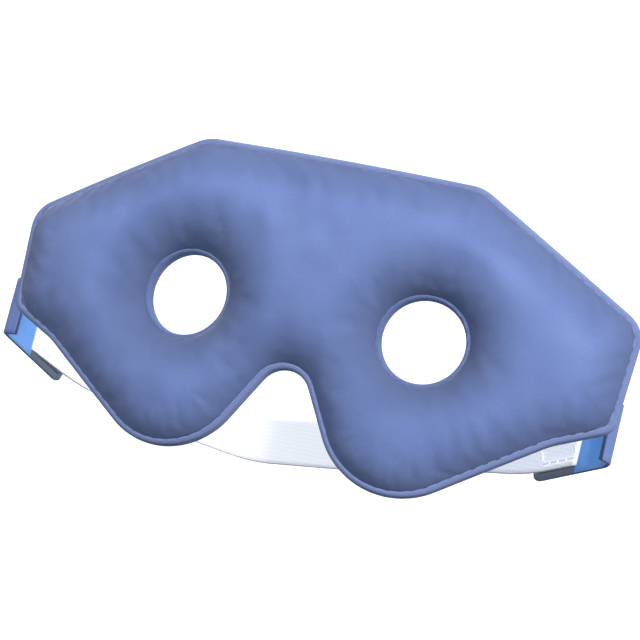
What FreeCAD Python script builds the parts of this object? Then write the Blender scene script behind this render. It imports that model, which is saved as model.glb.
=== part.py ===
"""Eye pillow: a padded face mask with two eye holes, closed behind the head by an elastic strap.

Millimetres, +Z up, the front of the mask faces -Y.  The mask is drawn upright about the point
midway between the eye holes, then leans back as it stands on its two cheek lobes and on the
lowest stretch of its strap.  Left is the -X side.
"""
import FreeCAD, Part
import math
import os
from FreeCAD import Vector

# Mask outline, half pattern: corner points (x, z) and the radius that rounds each one.
NOTCH_Z = -8.0
TOP_Z = 47.0
HALF_OUTLINE = [
    (0.0, NOTCH_Z, 8.0),
    (27.6, -55.8, 24.0),
    (77.0, -20.6, 20.0),
    (92.8, -13.0, 5.0),
    (94.8, 17.8, 9.0),
    (42.5, TOP_Z, 12.0),
]

# Bend round the face and lean of the standing mask.
BEND_RADIUS = 370.0
LEAN_DEG = 6.0

# Pad: depth in front of and behind the middle surface, and how softly its edges turn.
PAD_FRONT = 7.5
PAD_BACK = 4.2
FRONT_EDGE_RADIUS = 5.0
BACK_EDGE_RADIUS = 2.8
PAD_SOFTNESS = FRONT_EDGE_RADIUS + 4.0
COVER_THICKNESS = 0.8
FILM_THICKNESS = 0.35
FIT_GAP = 0.1

# Eye holes.
EYE_X = 36.0
EYE_RADIUS = 12.0

# Bindings folded over the edges.
BINDING_WIDTH = 2.8
EYE_BINDING_WIDTH = 2.0
BINDING_DEPTH = 1.7
BINDING_WALL = 0.7
BINDING_ROUND = 0.7
PAD_INSET = BINDING_WIDTH + 0.3
PAD_EYE_INSET = EYE_BINDING_WIDTH + 0.3

# Tabs: a strip that leaves the back of the mask, folds round an upright line and runs back inward.
TAB_THICKNESS = 1.2
TAB_HEIGHT = 17.0
TAB_BOTTOM_Z = -20.5
FOLD_RADIUS = 3.5
FLAP_LENGTH = 22.0
HINGE_GAP = 0.4
HINGE_OFFSET = 0.9

# Hook patch on the flap and loop patch on the strap.
HOOK_START = 8.5
HOOK_LENGTH = 12.5
HOOK_THICKNESS = 0.7
LOOP_START = 0.8
LOOP_LENGTH = 13.0
LOOP_THICKNESS = 0.5
PATCH_HEIGHT = 13.0

# The two soft ends differ, because the slack strap pulls the left flap back more than the right.
# All are drawn as right ends: the centre of the fold, the angles where the fold begins and ends,
# the length of the sewn root, how far the flap falls along its run, where the strap's end lies
# along the flap, its straight run and the radius of its first bend.
ENDS = {
    "left": {"fold": (93.4, 18.3), "begin": -65.0, "finish": 32.0, "root": 2.7, "fall": 0.40,
             "setback": 7.0, "run": 26.5, "bend": 25.0},
    "right": {"fold": (88.2, 19.6), "begin": -10.0, "finish": 68.0, "root": 5.7, "fall": 0.34,
              "setback": 7.0, "run": 30.5, "bend": 36.0},
}

# Elastic strap: the corners of its route behind the head (x, y), and the height of its middle
# line (x, z), each with the radius that rounds it.
STRAP_THICKNESS = 1.1
STRAP_WIDTH = 15.0
STRAP_GAP = 0.4
STRAP_CLEARANCE = (TAB_THICKNESS + STRAP_THICKNESS) / 2 + HOOK_THICKNESS + LOOP_THICKNESS + STRAP_GAP
STRAP_BACK_ROUTE = [(12.0, 62.0, 60.0), (-36.0, 78.0, 26.0)]
STRAP_LEVELS = [
    (100.0, -8.5, 0.0),
    (68.0, -20.2, 60.0),
    (38.0, -23.2, 150.0),
    (0.0, -27.4, 150.0),
    (-30.0, -30.1, 60.0),
    (-50.0, -28.0, 60.0),
    (-80.0, -21.4, 30.0),
    (-100.0, -10.0, 0.0),
]

# Sewing thread.
STITCH_LENGTH = 2.2
STITCH_PITCH = 3.6
STITCH_WIDTH = 0.5
STITCH_HEIGHT = 0.35
STITCH_LIFT = 0.05

# Reaches of the blocks that trim the whole object and one flap.
REACH = 200.0
BAND_REACH = 12.0


def polar(centre, radius, angle):
    """Point on a circle in a plane given as a pair."""
    return (centre[0] + radius * math.cos(angle), centre[1] + radius * math.sin(angle))


def rounded_path(corners, closed):
    """Lines and tangent arcs through corner points, each rounded by its own radius."""
    count = len(corners)
    steps = []
    for index in range(count):
        x, y, radius = corners[index]
        inner = closed or 0 < index < count - 1
        if not inner or radius == 0.0:
            steps.append(((x, y), None, (x, y)))
            continue
        before = corners[index - 1]
        after = corners[(index + 1) % count]
        angle_in = math.atan2(y - before[1], x - before[0])
        angle_out = math.atan2(after[1] - y, after[0] - x)
        turn = (angle_out - angle_in + math.pi) % (2 * math.pi) - math.pi
        trim = radius * math.tan(abs(turn) / 2)
        side = 1.0 if turn > 0 else -1.0
        start = (x - trim * math.cos(angle_in), y - trim * math.sin(angle_in))
        end = (x + trim * math.cos(angle_out), y + trim * math.sin(angle_out))
        normal = angle_in + side * math.pi / 2
        centre = polar(start, radius, normal)
        steps.append((start, (centre, radius, normal + math.pi, turn), end))
    pieces = []
    for index in range(count if closed else count - 1):
        leave = steps[index][2]
        arrive = steps[(index + 1) % count][0]
        if math.dist(leave, arrive) > 1e-6:
            pieces.append(("line", leave, arrive))
        arc = steps[(index + 1) % count][1]
        if arc:
            pieces.append(("arc",) + arc)
    return pieces


def shifted(piece, offset):
    """The same line or arc moved to its left by an offset."""
    if piece[0] == "line":
        start, end = piece[1], piece[2]
        length = math.dist(start, end)
        nx = -(end[1] - start[1]) / length * offset
        ny = (end[0] - start[0]) / length * offset
        return ("line", (start[0] + nx, start[1] + ny), (end[0] + nx, end[1] + ny))
    centre, radius, begin, turn = piece[1:]
    change = -offset if turn > 0 else offset
    return ("arc", centre, radius + change, begin, turn)


def piece_ends(piece):
    if piece[0] == "line":
        return piece[1], piece[2]
    centre, radius, begin, turn = piece[1:]
    return polar(centre, radius, begin), polar(centre, radius, begin + turn)


def to_edge(piece, place):
    """An edge from a plane piece; place turns a pair into a point in space."""
    start, end = piece_ends(piece)
    if piece[0] == "line":
        return Part.LineSegment(place(start), place(end)).toShape()
    centre, radius, begin, turn = piece[1:]
    middle = polar(centre, radius, begin + turn / 2)
    return Part.Arc(place(start), place(middle), place(end)).toShape()


def front_plane(pair):
    return Vector(pair[0], 0, pair[1])


def floor_plane(pair):
    return Vector(pair[0], pair[1], 0)


def ribbon_face(pieces, left, right, place):
    """Face between the path shifted left and the path shifted right, with square ends."""
    edges = [to_edge(shifted(piece, left), place) for piece in pieces]
    edges += [to_edge(shifted(piece, right), place) for piece in pieces]
    first_left, first_right = (piece_ends(shifted(pieces[0], side))[0] for side in (left, right))
    last_left, last_right = (piece_ends(shifted(pieces[-1], side))[1] for side in (left, right))
    edges.append(Part.LineSegment(place(first_left), place(first_right)).toShape())
    edges.append(Part.LineSegment(place(last_left), place(last_right)).toShape())
    return Part.Face(Part.Wire(Part.__sortEdges__(edges)))


def outline_pieces(least_radius):
    """Closed outline of the mask, with no outward corner tighter than a least radius."""
    half = [(x, z, max(radius, least_radius)) for x, z, radius in HALF_OUTLINE[1:]]
    other_half = [(-x, z, radius) for x, z, radius in reversed(half)]
    return rounded_path([HALF_OUTLINE[0]] + half + other_half, closed=True)


def outline_face(inset, softness=0.0):
    """Face of the outline drawn in by an inset, with no corner tighter than a softness."""
    pieces = outline_pieces(inset + softness)
    edges = [to_edge(shifted(piece, inset), front_plane) for piece in pieces]
    return Part.Face(Part.Wire(edges))


def disc(x, radius):
    circle = Part.Circle(Vector(x, 0, 0), Vector(0, 1, 0), radius)
    return Part.Face(Part.Wire(circle.toShape()))


def prism(face):
    """Solid along Y, in front of and behind the plane of a face."""
    solid = face.extrude(Vector(0, 2 * REACH, 0))
    solid.translate(Vector(0, -REACH, 0))
    return solid


def bent_sheet(front, back):
    """Sheet bent round the head, from a depth in front of the middle surface to one behind it."""
    base = Vector(0, BEND_RADIUS, -REACH)
    outer = Part.makeCylinder(BEND_RADIUS + front, 2 * REACH, base)
    inner = Part.makeCylinder(BEND_RADIUS - back, 2 * REACH, base)
    window = Part.makeBox(2 * REACH, REACH, 2 * REACH, Vector(-REACH, -REACH / 2, -REACH))
    return outer.cut(inner).common(window)


def layer(face, holes, front, back):
    """Outline less its eye holes, cut out of the bent sheet."""
    solid = prism(face).common(bent_sheet(front, back))
    for hole in holes:
        solid = solid.cut(prism(hole))
    return solid


def rim_edges(solid, depth):
    """Edges of a layer that lie on the bent surface at a depth (positive is in front)."""
    found = []
    for edge in solid.Edges:
        ends = [edge.valueAt(edge.FirstParameter), edge.valueAt(edge.LastParameter)]
        ends.append(edge.valueAt((edge.FirstParameter + edge.LastParameter) / 2))
        reach = [math.hypot(point.x, point.y - BEND_RADIUS) for point in ends]
        if max(abs(value - BEND_RADIUS - depth) for value in reach) < 0.01:
            found.append(edge)
    return found


def pad(inset, front, back, shrink):
    """Padded block with soft front and back edges, drawn in by an inset all round."""
    holes = [disc(x, EYE_RADIUS + PAD_EYE_INSET + inset) for x in (-EYE_X, EYE_X)]
    solid = layer(outline_face(PAD_INSET + inset, PAD_SOFTNESS - inset), holes, front, back)
    for depth, radius in ((front, FRONT_EDGE_RADIUS), (-back, BACK_EDGE_RADIUS)):
        if abs(depth) > radius:
            solid = solid.makeFillet(radius - shrink, rim_edges(solid, depth))
    return solid


def half_shell(front_side, inset, thickness):
    """One half of a hollow casing round the pad, in front of or behind the middle surface."""
    front = PAD_FRONT - inset
    back = PAD_BACK - inset
    outer = pad(inset, front, back, inset)
    inner = pad(inset + thickness, front - thickness, back - thickness, inset + thickness)
    shell = outer.cut(inner)
    side = bent_sheet(front + 1, 0) if front_side else bent_sheet(0, back + 1)
    return shell.common(side)


def cover(front_side):
    """Cover with its flat flange, which runs under the bindings."""
    shell = half_shell(front_side, 0.0, COVER_THICKNESS)
    inset = BINDING_WALL + FIT_GAP
    flange = layer(outline_face(inset), [], *((COVER_THICKNESS, 0) if front_side else (0, COVER_THICKNESS)))
    flange = flange.cut(prism(outline_face(PAD_INSET + COVER_THICKNESS)))
    ring_outer = PAD_EYE_INSET + EYE_RADIUS + COVER_THICKNESS
    for x in (-EYE_X, EYE_X):
        ring = layer(disc(x, ring_outer), [disc(x, EYE_RADIUS + inset)],
                     *((COVER_THICKNESS, 0) if front_side else (0, COVER_THICKNESS)))
        flange = flange.fuse(ring)
    return shell.fuse(flange).removeSplitter()


def binding(outer_face, inner_face, slot_face):
    """Tape folded over an edge: a soft ring with a slot for the two flanges."""
    solid = layer(outer_face, [inner_face], BINDING_DEPTH, BINDING_DEPTH)
    for depth in (BINDING_DEPTH, -BINDING_DEPTH):
        solid = solid.makeFillet(BINDING_ROUND, rim_edges(solid, depth))
    slot_depth = COVER_THICKNESS + FIT_GAP
    return solid.cut(prism(slot_face).common(bent_sheet(slot_depth, slot_depth)))


def edge_binding():
    return binding(outline_face(0), outline_face(BINDING_WIDTH), outline_face(BINDING_WALL))


def eye_binding(x):
    outer = disc(x, EYE_RADIUS + EYE_BINDING_WIDTH)
    slot = disc(x, EYE_RADIUS + EYE_BINDING_WIDTH + 1).cut(disc(x, EYE_RADIUS + BINDING_WALL))
    return binding(outer, disc(x, EYE_RADIUS), slot)


def stitch():
    """One stitch along X, lying on the XY plane of its own frame with its back at z = 0."""
    return Part.makeBox(STITCH_LENGTH, STITCH_WIDTH, STITCH_HEIGHT,
                        Vector(-STITCH_LENGTH / 2, -STITCH_WIDTH / 2, STITCH_LIFT))


def placed_stitch(point, along, outward):
    """A stitch moved to a point, turned along the seam, its back towards the cloth."""
    across = outward.cross(along)
    matrix = FreeCAD.Matrix(along.x, across.x, outward.x, point.x,
                            along.y, across.y, outward.y, point.y,
                            along.z, across.z, outward.z, point.z, 0, 0, 0, 1)
    return stitch().transformGeometry(matrix)


def seam(wire):
    """Stitches on the front of a binding, along a closed wire drawn in the front plane."""
    count = int(wire.Length / STITCH_PITCH)
    points = wire.discretize(Number=2 * count + 1)
    stitches = []
    for index in range(count):
        point = points[2 * index + 1]
        ahead = points[2 * index + 2] - points[2 * index]
        reach = BEND_RADIUS + BINDING_DEPTH
        depth = math.sqrt(reach ** 2 - point.x ** 2)
        outward = Vector(point.x, -depth, 0).normalize()
        along = (ahead - outward * ahead.dot(outward)).normalize()
        stitches.append(placed_stitch(Vector(point.x, BEND_RADIUS - depth, point.z), along, outward))
    return Part.makeCompound(stitches)


def edge_stitching():
    return seam(outline_face(BINDING_WIDTH * 0.55).OuterWire)


def eye_stitching(x):
    return seam(disc(x, EYE_RADIUS + EYE_BINDING_WIDTH / 2).OuterWire)


def upright(face):
    """Solid of a face drawn on the floor, run far up and down."""
    solid = face.extrude(Vector(0, 0, 2 * REACH))
    solid.translate(Vector(0, 0, -REACH))
    return solid


def fold_piece(end, begin_deg, finish_deg):
    begin = math.radians(begin_deg)
    return ("arc", end["fold"], FOLD_RADIUS, begin, math.radians(finish_deg) - begin)


def flap_heading(end):
    """Direction in which a flap runs from its fold, seen from above."""
    return math.radians(end["finish"] + 90)


def flap_run(end, start, finish):
    """Straight stretch of the flap, measured from the end of the fold."""
    origin = polar(end["fold"], FOLD_RADIUS, math.radians(end["finish"]))
    heading = flap_heading(end)
    return ("line", polar(origin, start, heading), polar(origin, finish, heading))


def falling_band(end, height):
    """Block that trims a flap to a strip, which falls steadily as it runs from the fold."""
    origin = polar(end["fold"], FOLD_RADIUS, math.radians(end["finish"]))
    heading = flap_heading(end)
    crease = -FOLD_RADIUS * math.sin(math.radians(end["finish"]))
    corners = []
    for run, side in ((crease - 8, -1), (crease - 8, 1), (FLAP_LENGTH + 8, 1), (FLAP_LENGTH + 8, -1)):
        x, y = polar(origin, run, heading)
        level = TAB_BOTTOM_Z + TAB_HEIGHT / 2 - end["fall"] * (run - crease)
        corners.append(Vector(x, y, level + side * height / 2))
    face = Part.Face(Part.makePolygon(corners + [corners[0]]))
    across = Vector(-math.sin(heading), math.cos(heading), 0) * BAND_REACH
    solid = face.extrude(across * 2)
    solid.translate(across * -1)
    return solid


def tab_root(end):
    """Sewn end of a tab, from the binding to the fold line."""
    bend = fold_piece(end, end["begin"], -math.degrees(HINGE_GAP / FOLD_RADIUS))
    start = piece_ends(bend)[0]
    run = ("line", polar(start, end["root"], math.radians(end["begin"] - 90)), start)
    half = TAB_THICKNESS / 2
    strip = ribbon_face([run, bend], half, -half, floor_plane)
    strip.translate(Vector(0, 0, TAB_BOTTOM_Z))
    return strip.extrude(Vector(0, 0, TAB_HEIGHT))


def tab_flap(end):
    """Free part of a tab, from the fold line to its end."""
    half = TAB_THICKNESS / 2
    pieces = [fold_piece(end, 0, end["finish"]), flap_run(end, 0, FLAP_LENGTH)]
    strip = upright(ribbon_face(pieces, half, -half, floor_plane))
    return strip.common(falling_band(end, TAB_HEIGHT))


def hook_patch(end):
    """Hook tape on the inner side of a flap."""
    inner = TAB_THICKNESS / 2
    run = flap_run(end, HOOK_START, HOOK_START + HOOK_LENGTH)
    face = ribbon_face([run], inner + HOOK_THICKNESS, inner, floor_plane)
    return upright(face).common(falling_band(end, PATCH_HEIGHT))


def tab_stitching(end):
    """Box of stitches on the outer side of a flap, which holds the hook tape."""
    heading = flap_heading(end)
    crease = -FOLD_RADIUS * math.sin(math.radians(end["finish"]))
    run = flap_run(end, HOOK_START + 1, HOOK_START + HOOK_LENGTH - 1)
    x, y = shifted(run, -TAB_THICKNESS / 2)[1]
    level = TAB_BOTTOM_Z + TAB_HEIGHT / 2 - end["fall"] * (HOOK_START + 1 - crease)
    along = Vector(math.cos(heading), math.sin(heading), -end["fall"]).normalize()
    outward = Vector(math.sin(heading), -math.cos(heading), 0)
    return box_of_stitches(Vector(x, y, level), along, outward, HOOK_LENGTH - 2, PATCH_HEIGHT - 3)


def box_of_stitches(start, along, outward, length, height):
    """Rectangle of stitches that starts at the middle of one short side."""
    up = outward.cross(along)
    stitches = []
    for side in (-1, 1):
        count = int(length / STITCH_PITCH) + 1
        for index in range(count):
            spot = start + along * (length * (index + 0.5) / count) + up * (side * height / 2)
            stitches.append(placed_stitch(spot, along, outward))
    for far in (0, 1):
        count = int(height / STITCH_PITCH)
        for index in range(count):
            spot = start + along * (length * far) + up * (height * ((index + 0.5) / count - 0.5))
            stitches.append(placed_stitch(spot, up, outward))
    return Part.makeCompound(stitches)


def strap_end(end):
    """Straight end of the strap inside a flap, drawn on the right: its tip and its first turn."""
    return shifted(flap_run(end, end["setback"], end["setback"] + end["run"]), STRAP_CLEARANCE)


def strap_route():
    """Plan of the strap, from its right end inside the right flap to its left end."""
    right_tip, right_turn = strap_end(ENDS["right"])[1:]
    left_tip, left_turn = strap_end(ENDS["left"])[1:]
    corners = [(right_tip[0], right_tip[1], 0.0), (right_turn[0], right_turn[1], ENDS["right"]["bend"])]
    corners += STRAP_BACK_ROUTE
    corners += [(-left_turn[0], left_turn[1], ENDS["left"]["bend"]), (-left_tip[0], left_tip[1], 0.0)]
    return rounded_path(corners, closed=False)


def strap_band(height, levels):
    """Block that trims the strap to a band about its middle line, seen from the front."""
    pieces = rounded_path(levels, closed=False)
    edges = []
    for side in (-1, 1):
        def place(pair):
            return Vector(pair[0], 0, pair[1] + side * height / 2)
        edges += [to_edge(piece, place) for piece in pieces]
    for x, z, _ in (levels[0], levels[-1]):
        edges.append(Part.LineSegment(Vector(x, 0, z - height / 2), Vector(x, 0, z + height / 2)).toShape())
    return prism(Part.Face(Part.Wire(Part.__sortEdges__(edges))))


def head_strap():
    half = STRAP_THICKNESS / 2
    face = ribbon_face(strap_route(), half, -half, floor_plane)
    return upright(face).common(strap_band(STRAP_WIDTH, STRAP_LEVELS))


def end_levels(end):
    """Middle line of the strap near one end, drawn as a right end."""
    if end is ENDS["left"]:
        return [(-x, z, radius) for x, z, radius in reversed(STRAP_LEVELS)]
    return STRAP_LEVELS


def strap_end_run(end, start, finish):
    """Straight stretch of the strap, measured from its tip."""
    tip, turn = strap_end(end)[1:]
    heading = math.atan2(turn[1] - tip[1], turn[0] - tip[0])
    return ("line", polar(tip, start, heading), polar(tip, finish, heading))


def loop_patch(end):
    """Loop tape on the outer side of one end of the strap."""
    run = strap_end_run(end, LOOP_START, LOOP_START + LOOP_LENGTH)
    outer = -STRAP_THICKNESS / 2
    face = ribbon_face([run], outer, outer - LOOP_THICKNESS, floor_plane)
    return upright(face).common(strap_band(PATCH_HEIGHT, end_levels(end)))


def strap_stitching(end):
    """Box of stitches on the inner side of one end of the strap."""
    run = strap_end_run(end, LOOP_START + 1, LOOP_START + LOOP_LENGTH - 1)
    start, finish = shifted(run, STRAP_THICKNESS / 2)[1:]
    (far_x, far_z), (near_x, near_z) = (level[:2] for level in end_levels(end)[:2])
    slope = (far_z - near_z) / (far_x - near_x)
    along = Vector(finish[0] - start[0], finish[1] - start[1], slope * (finish[0] - start[0])).normalize()
    outward = Vector(start[1] - finish[1], finish[0] - start[0], 0).normalize()
    corner = Vector(start[0], start[1], near_z + slope * (start[0] - near_x))
    return box_of_stitches(corner, along, outward, LOOP_LENGTH - 2, PATCH_HEIGHT - 3)


def mirrored(solid):
    return solid.mirror(Vector(0, 0, 0), Vector(1, 0, 0))


def build_nodes():
    """Every piece of the object, drawn upright about the point between the eye holes."""
    nodes = {
        "front_cover": cover(True),
        "back_cover": cover(False),
        "film_front": half_shell(True, COVER_THICKNESS + FIT_GAP, FILM_THICKNESS),
        "film_back": half_shell(False, COVER_THICKNESS + FIT_GAP, FILM_THICKNESS),
        "edge_binding": edge_binding(),
        "edge_stitching": edge_stitching(),
        "head_strap": head_strap(),
    }
    gel_inset = COVER_THICKNESS + FILM_THICKNESS + 2 * FIT_GAP
    nodes["gel_fill"] = pad(gel_inset, PAD_FRONT - gel_inset, PAD_BACK - gel_inset, gel_inset)
    for side, sign in (("left", -1), ("right", 1)):
        nodes[side + "_eye_binding"] = eye_binding(sign * EYE_X)
        nodes[side + "_eye_stitching"] = eye_stitching(sign * EYE_X)
    paired = {
        "tab_root": tab_root,
        "tab_flap": tab_flap,
        "hook_patch": hook_patch,
        "tab_stitching": tab_stitching,
        "loop_patch": loop_patch,
        "strap_stitching": strap_stitching,
    }
    for name, make in paired.items():
        nodes["right_" + name] = make(ENDS["right"])
        nodes["left_" + name] = mirrored(make(ENDS["left"]))
    return nodes


def stand(nodes):
    """Lean the object back and put the bottom centre of its box at the origin."""
    for name, solid in nodes.items():
        leaned = solid.copy()
        leaned.rotate(Vector(0, 0, 0), Vector(1, 0, 0), -LEAN_DEG)
        nodes[name] = leaned
    box = Part.makeCompound(list(nodes.values())).optimalBoundingBox(False)
    shift = Vector(-box.Center.x, -box.Center.y, -box.ZMin)
    for solid in nodes.values():
        solid.translate(shift)
    return box, shift


def report(nodes, box, shift):
    """Print what the record needs: size, shift, hinge points, lowest points and volumes."""
    print("size", round(box.XLength, 2), round(box.YLength, 2), round(box.ZLength, 2))
    print("shift", [round(value, 3) for value in shift])
    lean = FreeCAD.Rotation(Vector(1, 0, 0), -LEAN_DEG)
    for side, sign in (("left", -1), ("right", 1)):
        fold_x, fold_y = ENDS[side]["fold"]
        middle_z = TAB_BOTTOM_Z + TAB_HEIGHT / 2
        hinge = Vector(sign * (fold_x + FOLD_RADIUS + HINGE_OFFSET), fold_y, middle_z)
        print(side, "hinge", [round(value / 1000, 5) for value in lean.multVec(hinge) + shift])
        heading = flap_heading(ENDS[side])
        inward = lean.multVec(Vector(-sign * math.sin(heading), math.cos(heading), 0))
        middle = nodes[side + "_hook_patch"].Solids[0].CenterOfMass + inward * (HOOK_THICKNESS / 2)
        print(side, "hook face", [round(value / 1000, 4) for value in middle],
              [round(value, 3) for value in inward])
    print("up axis", [round(value, 5) for value in lean.multVec(Vector(0, 0, 1))])
    for name in ("edge_binding", "head_strap"):
        print(name, "lowest", round(nodes[name].optimalBoundingBox(False).ZMin, 3))
    print("strap length", round(sum(to_edge(piece, floor_plane).Length for piece in strap_route()), 1))
    for name, solid in sorted(nodes.items()):
        print(name, len(solid.Solids), round(solid.Volume, 1), solid.isValid())


def main():
    os.makedirs("parts", exist_ok=True)
    nodes = build_nodes()
    box, shift = stand(nodes)
    report(nodes, box, shift)
    for name, solid in nodes.items():
        solid.exportStep("parts/" + name + ".step")


main()
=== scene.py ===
"""Eye pillow: a padded blue face mask with two eye holes, folded end tabs and a white elastic strap.

Shapes are drawn in the mask's own frame, in millimetres: x to the right seen from the front, z up
the mask, h out of its middle surface, with the origin midway between the eye holes.  place() bends
them round the head, leans them back and puts them where the CAD frame stands, in metres.
"""
import math
import bmesh
import bpy
import numpy as np
from mathutils import Matrix, Vector, geometry, kdtree, noise


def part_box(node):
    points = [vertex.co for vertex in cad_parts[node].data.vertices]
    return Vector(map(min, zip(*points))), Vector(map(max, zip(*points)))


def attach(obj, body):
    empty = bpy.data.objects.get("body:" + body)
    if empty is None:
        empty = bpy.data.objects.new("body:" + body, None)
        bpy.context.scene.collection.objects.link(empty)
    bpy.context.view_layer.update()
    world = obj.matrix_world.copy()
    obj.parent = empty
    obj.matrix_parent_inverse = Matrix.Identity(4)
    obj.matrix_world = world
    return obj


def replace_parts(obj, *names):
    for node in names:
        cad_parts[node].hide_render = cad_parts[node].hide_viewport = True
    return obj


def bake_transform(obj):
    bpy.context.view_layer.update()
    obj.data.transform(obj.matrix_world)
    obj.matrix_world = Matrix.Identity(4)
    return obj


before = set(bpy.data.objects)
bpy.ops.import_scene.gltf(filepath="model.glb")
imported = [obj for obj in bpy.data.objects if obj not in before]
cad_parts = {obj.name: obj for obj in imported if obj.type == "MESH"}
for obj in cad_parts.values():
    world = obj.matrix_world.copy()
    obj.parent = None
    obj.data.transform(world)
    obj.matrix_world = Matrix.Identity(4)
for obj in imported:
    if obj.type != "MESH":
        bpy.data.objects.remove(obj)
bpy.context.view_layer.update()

MM = 0.001

# Mask outline, half pattern: corner points (x, z) and radii.
OUTLINE = [
    (0.0, -8.0, 8.0),
    (27.6, -55.8, 24.0),
    (77.0, -20.6, 20.0),
    (92.8, -13.0, 5.0),
    (94.8, 17.8, 9.0),
    (42.5, 47.0, 12.0),
]
BEND_RADIUS = 370.0
LEAN = math.radians(6.0)
EYE_X = 36.0
EYE_RADIUS = 12.0

# Bindings: width over the edge and half depth.
BINDING_WIDTH = 2.9
BINDING_DEPTH = 2.0
EYE_BINDING_WIDTH = 2.1

# Pad: its cloth starts under the bindings, rises from beside them and reaches the crown after a run.
FRONT_CROWN = 7.0
BACK_CROWN = 3.1
FLANGE = 1.1
CLOTH_INSET = 1.0
RISE_INSET = 2.1
EYE_CLOTH_INSET = 0.8
EYE_RISE_INSET = 1.6
EDGE_RUN = 18.0
EYE_RUN = 14.0
BACK_RUN_SHARE = 0.6
ROUNDNESS = 1.4
COVER_THICKNESS = 0.7

# Mesh of the pad: gaps between the rings of points beside the bindings, the spacing of the points
# over the middle, and the closest that two points of a ring may stand.
RING_GAPS = (0.25, 0.65, 1.2, 1.9, 2.8, 4.0, 5.5, 7.3, 9.4)
POINT_SPACING = 2.1
RING_SPACING = 0.9

# How often the ridges of the crown are eased, in front and behind.
FRONT_EASING = 14
BACK_EASING = 10

# Cloth simulation: points with less than a share of the crown are held, and the rest may move out
# and in by the caps.
HELD_SHARE = 0.03
CLOTH_PRESSURE = 4.0
CLOTH_FULLNESS = 0.004
CLOTH_FRAMES = 20
CLOTH_CAPS = (1.3, 0.3)

# Painted shade beside the bindings and the eye holes, darkening the flocked colour where the pad dips: how
# much at the seam, and how far it reaches.
EDGE_PAINTED_SHADE = (0.54, 13.0)
EYE_PAINTED_SHADE = (0.64, 16.0)

# Pouch and gel, as depths under the cover.
FILM_THICKNESS = 0.3
FILM_DEPTH = 1.3
GEL_DEPTH = 1.9
POUCH_INSET = 1.6

# Folded tabs and how the strap meets them, both drawn as right ends: the centre of the fold in
# plan, the angles where it begins and finishes, the length of the sewn root, how far the flap falls
# along its run, the strap's setback, straight run and first bend, and the depths over which the
# cloth bends from mask to flap.  The slack strap pulls the left flap further back.
TAB_THICKNESS = 1.15
TAB_HEIGHT = 17.0
TAB_BOTTOM_Z = -20.5
FOLD_RADIUS = 3.5
FLAP_LENGTH = 22.0
HOOK_START = 8.5
HOOK_LENGTH = 12.5
HOOK_THICKNESS = 0.7
HOOK_HEIGHT = 13.0
ENDS = {
    "left": {"fold": (93.4, 18.3), "begin": -65.0, "finish": 32.0, "root": 3.6, "fall": 0.40,
             "setback": 7.0, "run": 26.5, "bend": 25.0, "blend": (15.5, 21.0)},
    "right": {"fold": (88.2, 19.6), "begin": -10.0, "finish": 68.0, "root": 6.4, "fall": 0.34,
              "setback": 7.0, "run": 30.5, "bend": 36.0, "blend": (16.5, 22.5)},
}

# Upright ribbons: points over their height, and how their long edges round off, as shares of half
# the thickness.
RIBBON_COLUMNS = 14
EDGE_BULGE = 0.5
EDGE_FLAT = 0.55

# Elastic strap: corners of its plan behind the head (x, y) and its middle height (x, z), with radii.
STRAP_THICKNESS = 1.1
STRAP_WIDTH = 15.0
STRAP_CLEARANCE = 2.75
STRAP_BACK_ROUTE = [(12.0, 62.0, 60.0), (-36.0, 78.0, 26.0)]
STRAP_LEVELS = [
    (100.0, -8.5, 0.0),
    (68.0, -20.2, 60.0),
    (38.0, -23.2, 150.0),
    (0.0, -27.4, 150.0),
    (-30.0, -30.1, 60.0),
    (-50.0, -28.0, 60.0),
    (-80.0, -21.4, 30.0),
    (-100.0, -10.0, 0.0),
]


# ---------------------------------------------------------------- frame and bending

def mask_origin():
    """Where the point midway between the eye holes stands, in millimetres of the row frame."""
    lows, highs = zip(*(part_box(side + "_eye_binding") for side in ("left", "right")))
    middle = (np.mean(lows, axis=0) + np.mean(highs, axis=0)) / 2 / MM
    depth = BEND_RADIUS - math.sqrt(BEND_RADIUS ** 2 - EYE_X ** 2)
    return middle - np.array([0, depth * math.cos(LEAN), -depth * math.sin(LEAN)])


ORIGIN = mask_origin()


def stand(points):
    """Upright mask frame (x, y, z) in millimetres to the row frame in metres."""
    points = np.asarray(points, float).reshape(-1, 3)
    y = points[:, 1] * math.cos(LEAN) + points[:, 2] * math.sin(LEAN)
    z = -points[:, 1] * math.sin(LEAN) + points[:, 2] * math.cos(LEAN)
    return (np.stack([points[:, 0], y, z], axis=1) + ORIGIN) * MM


def bend(points):
    """Pattern points (x, z, h) to the upright mask frame: h is out of the bent middle surface."""
    points = np.asarray(points, float).reshape(-1, 3)
    x, z, h = points.T
    sine = x / BEND_RADIUS
    cosine = np.sqrt(1 - sine ** 2)
    return np.stack([x + h * sine, BEND_RADIUS * (1 - cosine) - h * cosine, z], axis=1)


def place(points):
    return stand(bend(points))


# ---------------------------------------------------------------- plane paths

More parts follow.
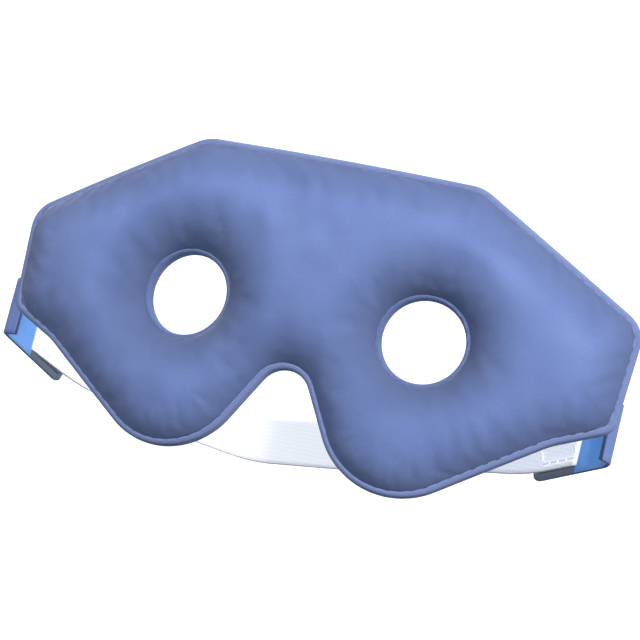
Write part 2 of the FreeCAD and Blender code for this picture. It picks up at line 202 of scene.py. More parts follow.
def rounded_path(corners, closed):
    """Lines and tangent arcs through corner points: (start, end) or (centre, radius, begin, turn)."""
    count = len(corners)
    steps = []
    for index, (x, y, radius) in enumerate(corners):
        if not closed and index in (0, count - 1):
            steps.append(((x, y), None, (x, y)))
            continue
        before, after = corners[index - 1], corners[(index + 1) % count]
        angle_in = math.atan2(y - before[1], x - before[0])
        angle_out = math.atan2(after[1] - y, after[0] - x)
        turn = (angle_out - angle_in + math.pi) % (2 * math.pi) - math.pi
        trim = radius * math.tan(abs(turn) / 2)
        normal = angle_in + math.copysign(math.pi / 2, turn)
        start = (x - trim * math.cos(angle_in), y - trim * math.sin(angle_in))
        end = (x + trim * math.cos(angle_out), y + trim * math.sin(angle_out))
        centre = (start[0] + radius * math.cos(normal), start[1] + radius * math.sin(normal))
        steps.append((start, (centre, radius, normal + math.pi, turn), end))
    pieces = []
    for index in range(count if closed else count - 1):
        pieces.append((steps[index][2], steps[(index + 1) % count][0]))
        arc = steps[(index + 1) % count][1]
        if arc:
            pieces.append(arc)
    return pieces


def sample(pieces, step, offset=0.0):
    """Points along a path moved to its left by an offset, with the unit normals to its left."""
    points, normals = [], []
    for piece in pieces:
        if len(piece) == 2:
            start, end = np.array(piece[0]), np.array(piece[1])
            length = np.linalg.norm(end - start)
            count = max(1, round(length / step))
            heading = (end - start) / max(length, 1e-9)
            for index in range(count):
                points.append(start + (end - start) * index / count)
                normals.append((-heading[1], heading[0]))
        else:
            centre, radius, begin, turn = piece
            count = max(3, round(radius * abs(turn) / step))
            side = -1.0 if turn > 0 else 1.0
            for index in range(count):
                angle = begin + turn * index / count
                out = np.array([math.cos(angle), math.sin(angle)])
                points.append(np.array(centre) + radius * out)
                normals.append(out * side)
    points, normals = np.array(points), np.array(normals)
    return points + normals * offset, normals


def outline(least_radius=0.0):
    """Closed outline of the mask with no outward corner tighter than a radius."""
    half = [(x, z, max(radius, least_radius)) for x, z, radius in OUTLINE[1:]]
    return rounded_path([OUTLINE[0]] + half + [(-x, z, radius) for x, z, radius in reversed(half)], True)


# ---------------------------------------------------------------- mesh helpers

def make_object(name, vertices, faces):
    """Smooth-shaded mesh object, linked to the scene."""
    mesh = bpy.data.meshes.new(name)
    mesh.from_pydata([tuple(v) for v in vertices], [], [tuple(f) for f in faces])
    mesh.validate()
    mesh.update()
    piece = bpy.data.objects.new(name, mesh)
    bpy.context.scene.collection.objects.link(piece)
    mesh.polygons.foreach_set("use_smooth", [True] * len(mesh.polygons))
    return piece


def apply_modifiers(piece):
    """Bake a piece's modifiers into its mesh."""
    shaped = piece.evaluated_get(bpy.context.evaluated_depsgraph_get())
    mesh = bpy.data.meshes.new_from_object(shaped)
    piece.modifiers.clear()
    piece.data = mesh


def face_out(piece):
    """Turn a closed piece's faces outward."""
    solid = bmesh.new()
    solid.from_mesh(piece.data)
    inside_out = solid.calc_volume(signed=True) < 0
    solid.free()
    if inside_out:
        piece.data.flip_normals()
    return piece


def add_uv(piece, coordinates):
    """One UV per vertex, in millimetres along and across the piece."""
    layer = piece.data.uv_layers.new(name="cloth")
    loops = np.zeros(len(piece.data.loops), int)
    piece.data.loops.foreach_get("vertex_index", loops)
    layer.data.foreach_set("uv", np.asarray(coordinates, float)[loops].ravel())


def tube(rings, closed):
    """Vertices and faces of a skin through rings of equal count; open tubes get capped ends."""
    rings = np.asarray(rings)
    count, around = rings.shape[:2]
    faces = []
    for ring in range(count if closed else count - 1):
        following = (ring + 1) % count
        for index in range(around):
            beside = (index + 1) % around
            faces.append((ring * around + index, following * around + index,
                          following * around + beside, ring * around + beside))
    if not closed:
        faces.append(tuple(range(around)))
        faces.append(tuple(reversed(range((count - 1) * around, count * around))))
    return rings.reshape(-1, 3), faces


def ripple(x, z, scale, seed):
    """Smooth noise between about -1 and 1."""
    return noise.noise(Vector((x / scale, z / scale, seed)))


def paint(piece, *materials):
    piece.data.materials.clear()
    for material in materials:
        piece.data.materials.append(material)
    return piece


# ---------------------------------------------------------------- materials

def srgb(red, green, blue):
    """Display colour, 0 to 255, to a linear one."""
    linear = [c / 12.92 if c <= 0.04045 else ((c + 0.055) / 1.055) ** 2.4
              for c in (red / 255, green / 255, blue / 255)]
    return (*linear, 1.0)


class Finish:
    """A material with its node tree, built one node at a time."""

    def __init__(self, name, **sockets):
        self.material = bpy.data.materials.new(name)
        self.material.use_nodes = True
        self.nodes = self.material.node_tree.nodes
        self.links = self.material.node_tree.links
        self.shader = self.nodes["Principled BSDF"]
        for key, value in sockets.items():
            self.shader.inputs[key.replace("_", " ")].default_value = value
        self.where = self.nodes.new("ShaderNodeTexCoord").outputs["Object"]
        self.height = None

    def noise(self, size_mm, detail=2.0, rough=0.5):
        node = self.nodes.new("ShaderNodeTexNoise")
        node.inputs["Scale"].default_value = 1.0 / (size_mm * MM)
        node.inputs["Detail"].default_value = detail
        node.inputs["Roughness"].default_value = rough
        self.links.new(self.where, node.inputs["Vector"])
        return node.outputs["Fac"]

    def uv(self):
        node = self.nodes.new("ShaderNodeUVMap")
        node.uv_map = "cloth"
        return node.outputs["UV"]

    def waves(self, pitch_mm, direction, source, distortion=0.0):
        """Bands at a pitch along one direction of a source in millimetres."""
        node = self.nodes.new("ShaderNodeTexWave")
        node.bands_direction = direction
        node.inputs["Scale"].default_value = math.pi / 10 / pitch_mm
        node.inputs["Distortion"].default_value = distortion
        self.links.new(source, node.inputs["Vector"])
        return node.outputs["Fac"]

    def range(self, value, low, high, to_low=0.0, to_high=1.0):
        node = self.nodes.new("ShaderNodeMapRange")
        numbers = {"From Min": low, "From Max": high, "To Min": to_low, "To Max": to_high}
        for key, number in numbers.items():
            node.inputs[key].default_value = number
        self.links.new(value, node.inputs["Value"])
        return node.outputs["Result"]

    def mix(self, factor, first, second):
        """Colour between two colours, each a constant or another output."""
        node = self.nodes.new("ShaderNodeMix")
        node.data_type = "RGBA"
        self.links.new(factor, node.inputs["Factor"])
        for key, colour in ((6, first), (7, second)):
            if isinstance(colour, tuple):
                node.inputs[key].default_value = colour
            else:
                self.links.new(colour, node.inputs[key])
        return node.outputs[2]

    def colour(self, output):
        self.links.new(output, self.shader.inputs["Base Color"])

    def roughness(self, output):
        self.links.new(output, self.shader.inputs["Roughness"])

    def bump(self, value, depth_mm, strength=1.0):
        node = self.nodes.new("ShaderNodeBump")
        node.inputs["Strength"].default_value = strength
        node.inputs["Distance"].default_value = depth_mm * MM
        self.links.new(value, node.inputs["Height"])
        if self.height:
            self.links.new(self.height, node.inputs["Normal"])
        self.height = node.outputs["Normal"]
        self.links.new(self.height, self.shader.inputs["Normal"])


def flocked(name, dark, light, sheen=0.35, nap=0.05):
    """Soft flocked cloth: short nap, faint cloudy tone and a pale sheen, with painted shade darkening it
    beside the seams.
    """
    finish = Finish(name, Sheen_Weight=sheen, Sheen_Roughness=0.45, Sheen_Tint=srgb(222, 224, 242))
    clouds = finish.range(finish.noise(16, 3, 0.55), 0.3, 0.7)
    fibres = finish.range(finish.noise(0.55, 3, 0.65), 0.3, 0.7, -0.22, 0.22)
    blend = finish.nodes.new("ShaderNodeMath")
    blend.use_clamp = True
    finish.links.new(clouds, blend.inputs[0])
    finish.links.new(fibres, blend.inputs[1])
    # Painted shade: the colour is darkened toward a dark blue by a per-point share, most beside the seams.
    painted_shade = finish.nodes.new("ShaderNodeAttribute")
    painted_shade.attribute_name = "painted_shade"
    finish.colour(finish.mix(painted_shade.outputs["Fac"], finish.mix(blend.outputs[0], dark, light), PAINTED_SHADE_COLOUR))
    finish.roughness(finish.range(finish.noise(4, 2), 0.3, 0.7, 0.78, 0.92))
    finish.bump(finish.noise(0.35, 3, 0.7), nap)
    finish.bump(finish.noise(2.6, 2, 0.5), nap * 1.5)
    return finish.material


def smooth_vinyl(name, dark, light, rough=0.34):
    """Smooth flexible vinyl with a fine grain and soft smears in its gloss."""
    finish = Finish(name, Specular_IOR_Level=0.5, Coat_Weight=0.15, Coat_Roughness=0.25)
    finish.colour(finish.mix(finish.range(finish.noise(9, 3, 0.5), 0.3, 0.7), dark, light))
    finish.roughness(finish.range(finish.noise(5, 4, 0.6), 0.3, 0.7, rough - 0.06, rough + 0.1))
    finish.bump(finish.noise(0.7, 2, 0.5), 0.02)
    finish.bump(finish.noise(7, 2, 0.5), 0.12)
    return finish.material


def webbing(name):
    """White knitted elastic: ribs along its length, fine courses across it."""
    finish = Finish(name, Sheen_Weight=0.2, Sheen_Roughness=0.5)
    uv = finish.uv()
    courses = finish.waves(0.75, "X", uv, 0.6)
    ribs = finish.waves(1.25, "Y", uv)
    finish.colour(finish.mix(finish.range(courses, 0, 1), srgb(243, 246, 250), srgb(253, 254, 255)))
    finish.roughness(finish.range(finish.noise(3, 2), 0.3, 0.7, 0.72, 0.88))
    finish.bump(courses, 0.02)
    finish.bump(ribs, 0.014)
    return finish.material


def plain_tape(name, dark, light, grain_mm, depth_mm, rough):
    """Small woven or moulded trim with a grain of its own size."""
    finish = Finish(name)
    finish.colour(finish.mix(finish.range(finish.noise(grain_mm, 2), 0.35, 0.65), dark, light))
    finish.roughness(finish.range(finish.noise(3, 2), 0.3, 0.7, rough - 0.08, rough + 0.08))
    finish.bump(finish.noise(grain_mm, 3, 0.6), depth_mm)
    return finish.material


# Dark blue of the painted shade beside the seams.
PAINTED_SHADE_COLOUR = srgb(30, 36, 56)
FLOCK = flocked("flocked_blue", srgb(96, 117, 174), srgb(106, 128, 184), sheen=0.55)
BINDING = flocked("binding_blue", srgb(102, 119, 166), srgb(114, 131, 178), sheen=0.28, nap=0.03)
EYE_BINDING = flocked("eye_binding_blue", srgb(80, 98, 144), srgb(92, 110, 156), sheen=0.3, nap=0.03)
TAB_OUTSIDE = flocked("tab_outside_blue", srgb(92, 116, 178), srgb(112, 136, 196))
TAB_EDGE = plain_tape("tab_cut_edge", srgb(68, 84, 128), srgb(84, 100, 146), 0.5, 0.05, 0.8)
VINYL = smooth_vinyl("smooth_blue_vinyl", srgb(80, 130, 192), srgb(96, 146, 206))
BACK_VINYL = smooth_vinyl("face_side_vinyl", srgb(64, 112, 182), srgb(71, 120, 190), 0.4)
ELASTIC = webbing("white_elastic")
HOOK = plain_tape("hook_tape_grey", srgb(46, 52, 62), srgb(78, 86, 98), 0.45, 0.25, 0.55)
HOOK_BACKING = plain_tape("hook_tape_backing", srgb(72, 84, 102), srgb(88, 100, 120), 0.5, 0.05, 0.7)
LOOP = plain_tape("loop_tape_white", srgb(214, 220, 232), srgb(240, 243, 250), 0.5, 0.15, 0.9)
BLUE_THREAD = plain_tape("blue_thread", srgb(106, 122, 170), srgb(118, 134, 182), 0.25, 0.04, 0.75)
EYE_THREAD = plain_tape("eye_thread", srgb(84, 102, 148), srgb(94, 112, 158), 0.25, 0.04, 0.75)
WHITE_THREAD = plain_tape("white_thread", srgb(214, 219, 230), srgb(240, 243, 248), 0.25, 0.04, 0.75)
FILM = smooth_vinyl("pouch_film", srgb(176, 204, 232), srgb(196, 220, 242), 0.2)
GEL = smooth_vinyl("blue_gel", srgb(70, 120, 200), srgb(90, 145, 220), 0.25)


# ---------------------------------------------------------------- pad

def rise(distance, run):
    """Rounded rise from 0 at the rim to 1 after a run."""
    share = np.clip(distance / run, 0, 1)
    return (1 - (1 - share) ** ROUNDNESS) ** (1 / ROUNDNESS)


def clear_of(points, others, least):
    """Those points that stand at least a distance away from all the others."""
    tree = kdtree.KDTree(len(others))
    for index, (x, z) in enumerate(others):
        tree.insert((x, z, 0), index)
    tree.balance()
    return np.array([p for p in points if tree.find((p[0], p[1], 0))[2] > least])


def inside(points, polygon):
    """Which points lie inside a closed polygon."""
    x, z = points[:, 0][:, None], points[:, 1][:, None]
    ax, az = polygon[:, 0][None], polygon[:, 1][None]
    bx, bz = np.roll(ax, -1, 1), np.roll(az, -1, 1)
    crossing = (az > z) != (bz > z)
    with np.errstate(divide="ignore", invalid="ignore"):
        hit = x < (bx - ax) * (z - az) / (bz - az) + ax
    return (crossing & hit).sum(1) % 2 == 1


def eye_ring(x, radius, count=72):
    angles = np.arange(count) * 2 * math.pi / count
    return np.stack([x + radius * np.cos(angles), radius * np.sin(angles)], axis=1)


def edge_ring(inset):
    """Points round the mask at an inset, abreast of each other on every such ring."""
    deepest = RISE_INSET + RING_GAPS[-1] + 1.0
    return sample(outline(deepest), 1.5, inset)[0]


def thinned(ring, least):
    """A ring without the points that crowd closer than a distance to the last one kept."""
    kept = [ring[0]]
    for point in ring[1:]:
        if np.linalg.norm(point - kept[-1]) >= least:
            kept.append(point)
    return np.array(kept)


def distance_to(points, polygon):
    """Distance from each point to a closed polygon."""
    best = np.full(len(points), np.inf)
    for a, b in zip(polygon, np.roll(polygon, -1, 0)):
        along = b - a
        share = np.clip(((points - a) @ along) / (along @ along), 0, 1)
        gap = np.linalg.norm(points - a - share[:, None] * along, axis=1)
        best = np.minimum(best, gap)
    return best


def pad_pattern(inset, eye_inset):
    """Flat triangle mesh between the mask's edge and its eye holes, with rings along both."""
    rim = edge_ring(inset)
    eyes = [eye_ring(x, EYE_RADIUS + eye_inset) for x in (-EYE_X, EYE_X)]
    rims = [rim] + eyes
    rings = [edge_ring(RISE_INSET + gap) for gap in RING_GAPS if RISE_INSET + gap > inset + 0.2]
    for x in (-EYE_X, EYE_X):
        rings += [eye_ring(x, EYE_RADIUS + EYE_RISE_INSET + gap) for gap in RING_GAPS
                  if EYE_RISE_INSET + gap > eye_inset + 0.2]
    if inset < RISE_INSET:
        rings.append(edge_ring(RISE_INSET))
        rings += [eye_ring(x, EYE_RADIUS + EYE_RISE_INSET) for x in (-EYE_X, EYE_X)]
    near = np.concatenate(rims + [thinned(ring, RING_SPACING) for ring in rings])
    columns = np.arange(-96, 96, POINT_SPACING)
    rows = np.arange(-50, 50, POINT_SPACING * math.sqrt(3) / 2)
    lattice = np.array([(x + (row % 2) * POINT_SPACING / 2, z)
                        for row, z in enumerate(rows) for x in columns])
    lattice = lattice[inside(lattice, edge_ring(RISE_INSET + RING_GAPS[-1]))]
    for x in (-EYE_X, EYE_X):
        reach = EYE_RADIUS + EYE_RISE_INSET + RING_GAPS[-1]
        lattice = lattice[np.hypot(lattice[:, 0] - x, lattice[:, 1]) > reach]
    points = np.concatenate([near, clear_of(lattice, near, POINT_SPACING * 0.6)])
    edges = []
    start = 0
    for ring in rims:
        edges += [(start + i, start + (i + 1) % len(ring)) for i in range(len(ring))]
        start += len(ring)
    result = geometry.delaunay_2d_cdt([Vector(p) for p in points], edges, [], 0, 1e-5)
    flat = np.array([tuple(v) for v in result[0]])
    triangles = np.array(result[2])
    centres = flat[triangles].mean(axis=1)
    good = inside(centres, rim)
    for eye in eyes:
        good &= ~inside(centres, eye)
    return flat, triangles[good]


def crown_share(flat, run_share=1.0):
    """Share of the full crown at each point: 0 beside every binding, 1 over the middle."""
    gap = distance_to(flat, edge_ring(CLOTH_INSET)) - (RISE_INSET - CLOTH_INSET)
    gap = np.where(inside(flat, edge_ring(RISE_INSET)), gap, 0)
    share = rise(gap, EDGE_RUN * run_share)
    for x in (-EYE_X, EYE_X):
        gap = np.hypot(flat[:, 0] - x, flat[:, 1]) - EYE_RADIUS - EYE_RISE_INSET
        share = share * rise(gap, EYE_RUN * run_share)
    return share


def painted_shade_share(flat):
    """How much painted shade darkens the flocked colour at each point: most beside the bindings."""
    gap = distance_to(flat, edge_ring(CLOTH_INSET))
    unshaded_share = 1 - EDGE_PAINTED_SHADE[0] * np.clip(1 - gap / EDGE_PAINTED_SHADE[1], 0, 1)
    for x in (-EYE_X, EYE_X):
        gap = np.hypot(flat[:, 0] - x, flat[:, 1]) - EYE_RADIUS - EYE_CLOTH_INSET
        unshaded_share = unshaded_share * (1 - EYE_PAINTED_SHADE[0] * np.clip(1 - gap / EYE_PAINTED_SHADE[1], 0, 1))
    return 1 - unshaded_share


def softened(share, pattern, passes):
    """The crown with its ridges eased by its neighbours, and left as it is close to a binding."""
    flat, triangles = pattern
    pairs = np.concatenate([triangles[:, (0, 1)], triangles[:, (1, 2)], triangles[:, (2, 0)]])
    pairs = np.unique(np.sort(pairs, axis=1), axis=0)
    count = np.maximum(np.bincount(pairs.ravel(), minlength=len(flat)), 1)
    ease = np.clip((share - 0.15) / 0.4, 0, 1) * 0.8
    for _ in range(passes):
        total = np.bincount(pairs[:, 0], share[pairs[:, 1]], len(flat))
        total += np.bincount(pairs[:, 1], share[pairs[:, 0]], len(flat))
        share = share + ease * (total / count - share)
    return share


def front_heights(pattern):
    flat = pattern[0]
    soft = np.array([ripple(x, z, 26, 3.0) + 0.35 * ripple(x, z, 9, 7.0) for x, z in flat])
    return FLANGE + softened(crown_share(flat), pattern, FRONT_EASING) * (FRONT_CROWN + 0.4 * soft)


def back_heights(pattern):
    flat = pattern[0]
    soft = np.array([ripple(x, z, 20, 5.0) for x, z in flat])
    share = softened(crown_share(flat, BACK_RUN_SHARE), pattern, BACK_EASING)
    return FLANGE + share * (BACK_CROWN + 0.3 * soft)


def blow_up(piece, share):
    """Cloth simulation of a cover: the filling presses it out while the bindings hold its rims.

    Each point keeps only its move out of the surface, and that only up to a cap.
    """
    held = piece.vertex_groups.new(name="held")
    held.add([int(index) for index in np.flatnonzero(share < HELD_SHARE)], 1.0, "REPLACE")
    cloth = piece.modifiers.new("blown_up", "CLOTH").settings
    cloth.vertex_group_mass = held.name
    cloth.mass = 0.15
    cloth.quality = 6
    cloth.tension_stiffness = 15
    cloth.compression_stiffness = 15
    cloth.shear_stiffness = 5
    cloth.bending_stiffness = 3.0
    cloth.shrink_min = -CLOTH_FULLNESS
    cloth.use_pressure = True
    cloth.uniform_pressure_force = CLOTH_PRESSURE
    cloth.effector_weights.gravity = 0
    start, out = np.zeros((2, 3 * len(share)))
    piece.data.vertices.foreach_get("co", start)
    piece.data.vertices.foreach_get("normal", out)
    for step in range(1, CLOTH_FRAMES + 1):
        bpy.context.scene.frame_set(step)
    shaped = piece.evaluated_get(bpy.context.evaluated_depsgraph_get())
    moved = np.zeros(3 * len(share))
    shaped.data.vertices.foreach_get("co", moved)
    start, out, moved = (values.reshape(-1, 3) for values in (start, out, moved))
    lift = ((moved - start) * out).sum(axis=1) / MM
    cap = np.where(lift > 0, *CLOTH_CAPS)
    piece.modifiers.clear()
    piece.vertex_groups.clear()
    bpy.context.scene.frame_set(1)
    lift = cap * np.tanh(lift / cap)
    piece.data.vertices.foreach_set("co", (start + out * lift[:, None] * MM).ravel())
    piece.data.update()


def half_shell(name, pattern, heights, outward, thickness, blown=False, painted_shade=None):
    """One side of the pad as a thin closed shell; outward is 1 for the front, -1 for the back."""
    flat, triangles = pattern
    points = place(np.column_stack([flat, heights * outward]))
    faces = triangles if outward < 0 else triangles[:, ::-1]
    piece = make_object(name, points, faces)
    # The painted shade share, stored per point for the flocked colour.
    if painted_shade is not None:
        piece.data.attributes.new("painted_shade", "FLOAT", "POINT").data.foreach_set("value", painted_shade)
    if blown:
        blow_up(piece, crown_share(flat))
    shell = piece.modifiers.new("cloth", "SOLIDIFY")
    shell.thickness = thickness * MM
    shell.offset = -1.0
    apply_modifiers(piece)
    return piece


def gel_body(pattern, front, back):
    """Closed gel filling between a front and a back surface."""
    flat, triangles = pattern
    count = len(flat)
    points = np.vstack([place(np.column_stack([flat, front])), place(np.column_stack([flat, -back]))])
    faces = [tuple(t) for t in triangles[:, ::-1]] + [tuple(t + count) for t in triangles]
    edges = {(corners[i], corners[i - 2]) for corners in triangles[:, ::-1].tolist() for i in range(3)}
    faces += [(b, a, a + count, b + count) for a, b in sorted(edges) if (b, a) not in edges]
    return face_out(make_object("gel_body", points, faces))


def finish_pad_piece(piece, material, node):
    paint(piece, material)
    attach(piece, "mask")
    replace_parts(piece, node)


def build_pad():
    pattern = pad_pattern(CLOTH_INSET, EYE_CLOTH_INSET)
    front, back = front_heights(pattern), back_heights(pattern)
    # Painted shade beside the bindings, for the front cover's colour.
    painted_shade = painted_shade_share(pattern[0])
    cover = half_shell("front_pad", pattern, front, 1, COVER_THICKNESS, blown=True, painted_shade=painted_shade)
    finish_pad_piece(cover, FLOCK, "front_cover")
    cover = half_shell("back_pad", pattern, back, -1, COVER_THICKNESS, blown=True)
    finish_pad_piece(cover, BACK_VINYL, "back_cover")


def build_pouch():
    """Welded film pouch and its gel, inside the covers."""
    pattern = pad_pattern(RISE_INSET + POUCH_INSET, EYE_RISE_INSET + POUCH_INSET)
    front, back = front_heights(pattern), back_heights(pattern)
    for side, heights, outward in (("front", front, 1), ("back", back, -1)):
        depths = np.maximum(heights - FILM_DEPTH, 0.35)
        film = half_shell(side + "_film", pattern, depths, outward, FILM_THICKNESS)
        finish_pad_piece(film, FILM, "film_" + side)
    gel = gel_body(pattern, np.maximum(front - GEL_DEPTH, 0.02), np.maximum(back - GEL_DEPTH, 0.02))
    finish_pad_piece(gel, GEL, "gel_fill")


# ---------------------------------------------------------------- bindings

def soft_section(half_width, half_depth, count, power):
    """Rounded section of a tape: pairs across and out of the edge."""
    angles = np.arange(count) * 2 * math.pi / count
    cosine, sine = np.cos(angles), np.sin(angles)
    across = np.sign(cosine) * np.abs(cosine) ** (2 / power) * half_width
    depth = np.sign(sine) * np.abs(sine) ** (2 / power) * half_depth
    return np.stack([across, depth], axis=1)


def swept_binding(name, centres, normals, half_width, material):
    """Tape swept along a closed line in the pattern plane."""
    section = soft_section(half_width, BINDING_DEPTH, 18, 2.7)
    rings = []
    for (x, z), (nx, nz) in zip(centres, normals):
        pucker = 1 + 0.05 * ripple(x, z, 2.4, 11.0)
        rings.append([(x + nx * a, z + nz * a, h * pucker) for a, h in section])
    rings = np.array([place(ring) for ring in rings])
    vertices, faces = tube(rings, closed=True)
    piece = paint(face_out(make_object(name, vertices, faces)), material)
    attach(piece, "mask")
    return piece


def build_bindings():
    centres, normals = sample(outline(), 1.4, BINDING_WIDTH / 2)
    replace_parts(swept_binding("edge_tape", centres, normals, BINDING_WIDTH / 2, BINDING), "edge_binding")
    for side, sign in (("left", -1), ("right", 1)):
        middle = EYE_RADIUS + EYE_BINDING_WIDTH / 2
        ring = eye_ring(sign * EYE_X, middle, 96)
        outward = (ring - np.array([sign * EYE_X, 0])) / middle
        piece = swept_binding(side + "_eye_tape", ring, outward, EYE_BINDING_WIDTH / 2, EYE_BINDING)
        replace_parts(piece, side + "_eye_binding")


# ---------------------------------------------------------------- ribbons

def plan_samples(pieces, step):
    """Plan points, left normals and running lengths of a path that ends in a straight piece."""
    points, normals = sample(pieces, step)
    points = np.vstack([points, pieces[-1][1]])
    normals = np.vstack([normals, normals[-1]])
    lengths = np.concatenate([[0], np.cumsum(np.linalg.norm(np.diff(points, axis=0), axis=1))])
    return points, normals, lengths


def ribbon(name, points, normals, low, high, thickness, lift=0.0):
    """Upright flat strip with rounded edges: plan points, and its lower and upper edge at each."""
    half = thickness / 2
    bulge, flat = half * EDGE_BULGE, half * EDGE_FLAT
    shares = np.linspace(0, 1, RIBBON_COLUMNS)
    rings, coordinates = [], []
    run = 0.0
    previous = points[0]
    for (x, y), (nx, ny), bottom, top in zip(points, normals, low, high):
        run += math.hypot(x - previous[0], y - previous[1])
        previous = (x, y)
        levels = bottom + (top - bottom) * shares
        around = [(bottom - bulge, flat)] + [(level, half) for level in levels]
        around += [(top + bulge, flat), (top + bulge, -flat)]
        around += [(level, -half) for level in levels[::-1]] + [(bottom - bulge, -flat)]
        rings.append([(x + nx * (out + lift), y + ny * (out + lift), level) for level, out in around])
        coordinates += [(run, level) for level, _ in around]
    vertices, faces = tube(np.array([stand(ring) for ring in rings]), closed=False)
    piece = make_object(name, vertices, faces)
    add_uv(piece, coordinates)
    return face_out(piece)


def mirror(piece):
    """Turn a piece drawn as a right end into a left end, its faces still outward."""
    middle = ORIGIN[0] * MM
    piece.data.transform(Matrix.Translation((middle, 0, 0)) @ Matrix.Scale(-1, 4, Vector((1, 0, 0)))
                         @ Matrix.Translation((-middle, 0, 0)))
    piece.data.flip_normals()


# ---------------------------------------------------------------- tabs

def fold_point(end, degrees):
    angle = math.radians(degrees)
    return (end["fold"][0] + FOLD_RADIUS * math.cos(angle), end["fold"][1] + FOLD_RADIUS * math.sin(angle))


def ahead(point, run, degrees):
    """Point reached from another after a run in a direction."""
    angle = math.radians(degrees)
    return (point[0] + run * math.cos(angle), point[1] + run * math.sin(angle))


def tab_plan(end):
    """Plan path of a tab: out from under the binding, round the fold and back inward."""
    begin, finish = end["begin"], end["finish"]
    start, leave = fold_point(end, begin), fold_point(end, finish)
    bend = (end["fold"], FOLD_RADIUS, math.radians(begin), math.radians(finish - begin))
    root = (ahead(start, end["root"], begin - 90), start)
    return [root, bend, (leave, ahead(leave, FLAP_LENGTH, finish + 90))]


def flap_run(end, start, finish, offset=0.0):
    """Straight stretch of the flap in plan, measured from the end of the fold."""
    heading = end["finish"] + 90
    origin = ahead(fold_point(end, end["finish"]), offset, heading + 90)
    return (ahead(origin, start, heading), ahead(origin, finish, heading))


def flap_levels(end, runs, height):
    """Lower and upper edge of the falling strip, by run from the end of the fold."""
    crease = -FOLD_RADIUS * math.sin(math.radians(end["finish"]))
    middle = TAB_BOTTOM_Z + TAB_HEIGHT / 2 - end["fall"] * np.maximum(runs - crease, 0)
    return middle - height / 2, middle + height / 2


def round_end(low, high, lengths, corner):
    """Round the two corners at the far end of a strip."""
    left = np.clip(corner - (lengths[-1] - lengths), 0, corner)
    trim = corner - np.sqrt(np.maximum(corner ** 2 - left ** 2, 0))
    return low + trim, high - trim


def build_tabs():
    for side, sign in (("left", -1), ("right", 1)):
        end = ENDS[side]
        points, normals, lengths = plan_samples(tab_plan(end), 0.5)
        leave = lengths[-1] - FLAP_LENGTH
        low, high = flap_levels(end, lengths - leave, TAB_HEIGHT)
        low, high = round_end(low, high, lengths, 3.0)
        tab = ribbon(side + "_tab_strip", points, normals, low, high, TAB_THICKNESS)
        paint(tab, TAB_OUTSIDE, VINYL, TAB_EDGE, HOOK_BACKING)
        mark_sides(tab, int(np.searchsorted(lengths, leave + HOOK_START)))
        if side == "left":
            mirror(tab)
        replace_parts(tab, side + "_tab_root", side + "_tab_flap")
        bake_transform(tab)
        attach(tab, "mask")


def mark_sides(piece, hook_ring):
    """Material index by side: 0 outside, 1 inside, 2 cut edges, 3 inside and edges under the hook tape."""
    around = 2 * RIBBON_COLUMNS + 4
    for polygon in piece.data.polygons:
        hooked = min(polygon.vertices) // around >= hook_ring
        column = min(v % around for v in polygon.vertices)
        if len(polygon.vertices) == 4 and 1 <= column < RIBBON_COLUMNS:
            polygon.material_index = 3 if hooked else 1
        elif len(polygon.vertices) == 4 and RIBBON_COLUMNS + 2 < column < around - 2:
            polygon.material_index = 0
        else:
            polygon.material_index = 3 if hooked else 2


def build_patches():
    """Hook tape on the flaps."""
    for side in ("left", "right"):
        end = ENDS[side]
        run = flap_run(end, HOOK_START, HOOK_START + HOOK_LENGTH)
        points, normals, lengths = plan_samples([run], 0.6)
        low, high = flap_levels(end, lengths + HOOK_START, HOOK_HEIGHT)
        low, high = round_end(low, high, lengths, 1.5)
        lift = TAB_THICKNESS / 2 + HOOK_THICKNESS / 2
        hook = paint(ribbon(side + "_hook_tape", points, normals, low, high, HOOK_THICKNESS, lift), HOOK)
        if side == "left":
            mirror(hook)
        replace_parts(hook, side + "_hook_patch")
        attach(hook, side + "_tab")


# ---------------------------------------------------------------- strap

def strap_plan():
    right, left = (flap_run(ENDS[side], ENDS[side]["setback"], ENDS[side]["setback"] + ENDS[side]["run"],
                            STRAP_CLEARANCE) for side in ("right", "left"))
    corners = [(*right[0], 0.0), (*right[1], ENDS["right"]["bend"])] + STRAP_BACK_ROUTE
    corners += [(-left[1][0], left[1][1], ENDS["left"]["bend"]), (-left[0][0], left[0][1], 0.0)]
    return rounded_path(corners, closed=False)


def build_strap():
    points, normals, lengths = plan_samples(strap_plan(), 1.2)
    line = sample(rounded_path(STRAP_LEVELS, closed=False), 1.0)[0][::-1]
    levels = np.interp(points[:, 0], line[:, 0], line[:, 1])
    waver = np.array([0.15 * ripple(length, 0, 13, 5.0) for length in lengths])
    low = levels - STRAP_WIDTH / 2 + 0.3 + np.maximum(waver, 0)
    high = levels + STRAP_WIDTH / 2 - 0.3 + waver
    strap = paint(ribbon("elastic_strap", points, normals, low, high, STRAP_THICKNESS - 0.1), ELASTIC)
    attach(strap, "strap")
    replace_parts(strap, "head_strap")


# ---------------------------------------------------------------- carried-over CAD nodes

def repaint_nodes():
    looks = {"edge_stitching": BLUE_THREAD}
    for side in ("left", "right"):
        looks[side + "_eye_stitching"] = EYE_THREAD
        looks[side + "_tab_stitching"] = BLUE_THREAD
        looks[side + "_strap_stitching"] = WHITE_THREAD
        looks[side + "_loop_patch"] = LOOP
    for node, material in looks.items():
        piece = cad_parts[node]
        for slot in piece.material_slots:
            slot.material = material


# ---------------------------------------------------------------- stage, light and camera

CAMERA_DISTANCE = 700.0
CAMERA_YAW = math.radians(18.4)
CAMERA_PITCH = math.radians(-8.0)
CAMERA_ROLL = math.radians(14.2)
LENS = 137.8125
AIM = (-0.95625, -0.16875)


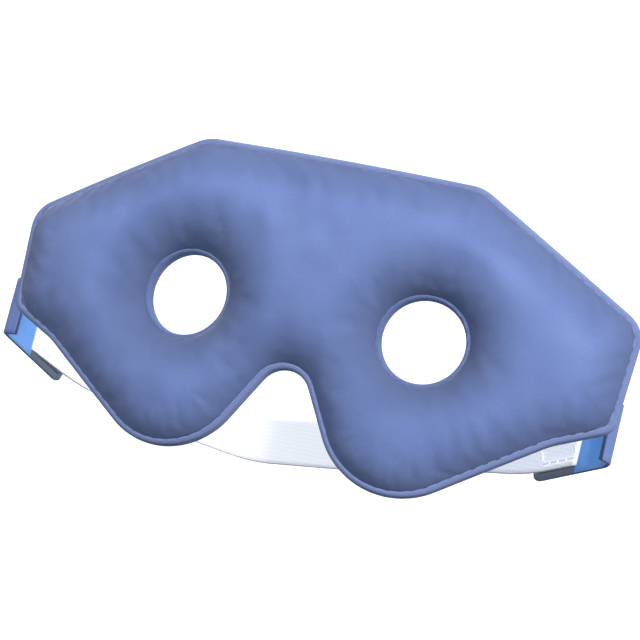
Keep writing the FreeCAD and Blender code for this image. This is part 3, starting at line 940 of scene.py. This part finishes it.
def build_camera():
    """Camera looking at the mask from the right and a little below, rolled clockwise.

    AIM is where the middle of the mask falls off the picture's centre, in millimetres of a 36 mm sensor.
    """
    out = np.array([math.sin(CAMERA_YAW) * math.cos(CAMERA_PITCH),
                    -math.cos(CAMERA_YAW) * math.cos(CAMERA_PITCH), math.sin(CAMERA_PITCH)])
    side = np.cross(-out, [0, 0, 1])
    side /= np.linalg.norm(side)
    up = np.cross(side, -out)
    right = math.cos(CAMERA_ROLL) * side + math.sin(CAMERA_ROLL) * up
    top = -math.sin(CAMERA_ROLL) * side + math.cos(CAMERA_ROLL) * up
    sight = -out * LENS - right * AIM[0] + top * AIM[1]
    back = -sight / np.linalg.norm(sight)
    right = right - back * (right @ back)
    right /= np.linalg.norm(right)
    top = np.cross(back, right)
    spot = stand([out * CAMERA_DISTANCE])[0]
    lean = np.array(Matrix.Rotation(-LEAN, 3, "X"))
    columns = [lean @ axis for axis in (right, top, back)]
    data = bpy.data.cameras.new("camera")
    data.sensor_width = 36
    data.lens = LENS
    data.clip_start = 0.01
    data.clip_end = 50
    camera = bpy.data.objects.new("camera", data)
    bpy.context.scene.collection.objects.link(camera)
    turn = Matrix([[columns[c][r] for c in range(3)] for r in range(3)]).to_4x4()
    camera.matrix_world = Matrix.Translation(Vector(spot)) @ turn
    bpy.context.scene.camera = camera


def sun_light(name, toward, power, spread_deg, colour):
    """Distant soft light, seen from the mask in the direction `toward`, that casts no shadow."""
    data = bpy.data.lights.new(name, "SUN")
    data.energy = power
    data.angle = math.radians(spread_deg)
    data.color = colour
    data.use_shadow = False
    light = bpy.data.objects.new(name, data)
    light.rotation_euler = Vector(toward).to_track_quat("Z", "Y").to_euler()
    bpy.context.scene.collection.objects.link(light)


def build_stage():
    """Pale floor that curves up into a far wall, with soft studio light."""
    steps = 48
    radius = 3.0
    start = 0.35
    profile = [(-5.0, 0.0)]
    profile += [(start + radius * math.sin(a), radius * (1 - math.cos(a)))
                for a in np.linspace(0, math.pi / 2, steps)]
    profile.append((start + radius, 5.0))
    vertices = [(x, y, z) for y, z in profile for x in (-6.0, 6.0)]
    faces = [(2 * i, 2 * i + 1, 2 * i + 3, 2 * i + 2) for i in range(len(profile) - 1)]
    floor = make_object("studio_sweep", vertices, faces)
    sweep = Finish("pale_sweep", Roughness=0.95, Specular_IOR_Level=0.0)
    sweep.colour(sweep.mix(sweep.noise(300, 2), srgb(240, 241, 242), srgb(244, 245, 246)))
    sweep.shader.inputs["Emission Color"].default_value = srgb(250, 250, 251)
    sweep.shader.inputs["Emission Strength"].default_value = 0.25
    paint(floor, sweep.material)
    floor.visible_diffuse = False
    sun_light("key", (0.6, -0.45, 0.62), 2.7, 24, (1.0, 0.99, 0.97))
    sun_light("side_fill", (0.95, -0.3, 0.1), 0.9, 20, (0.98, 0.98, 1.0))
    sun_light("front_fill", (-0.3, -0.88, 0.38), 1.3, 20, (0.97, 0.98, 1.0))
    sun_light("back_fill", (-0.3, 0.9, 0.35), 1.0, 20, (0.98, 0.99, 1.0))
    world = bpy.data.worlds.new("studio")
    world.use_nodes = True
    nodes, links = world.node_tree.nodes, world.node_tree.links
    heading = nodes.new("ShaderNodeSeparateXYZ")
    links.new(nodes.new("ShaderNodeTexCoord").outputs["Generated"], heading.inputs["Vector"])
    height = nodes.new("ShaderNodeMapRange")
    height.inputs["From Min"].default_value = -0.35
    height.inputs["From Max"].default_value = 0.25
    height.inputs["To Min"].default_value = 0.02
    height.inputs["To Max"].default_value = 0.48
    links.new(heading.outputs["Z"], height.inputs["Value"])
    links.new(height.outputs["Result"], nodes["Background"].inputs["Strength"])
    nodes["Background"].inputs["Color"].default_value = (0.95, 0.97, 1.0, 1)
    bpy.context.scene.world = world
    bpy.context.scene.view_settings.view_transform = "Standard"


build_pad()
build_pouch()
build_bindings()
build_tabs()
build_patches()
build_strap()
repaint_nodes()
build_stage()
build_camera()
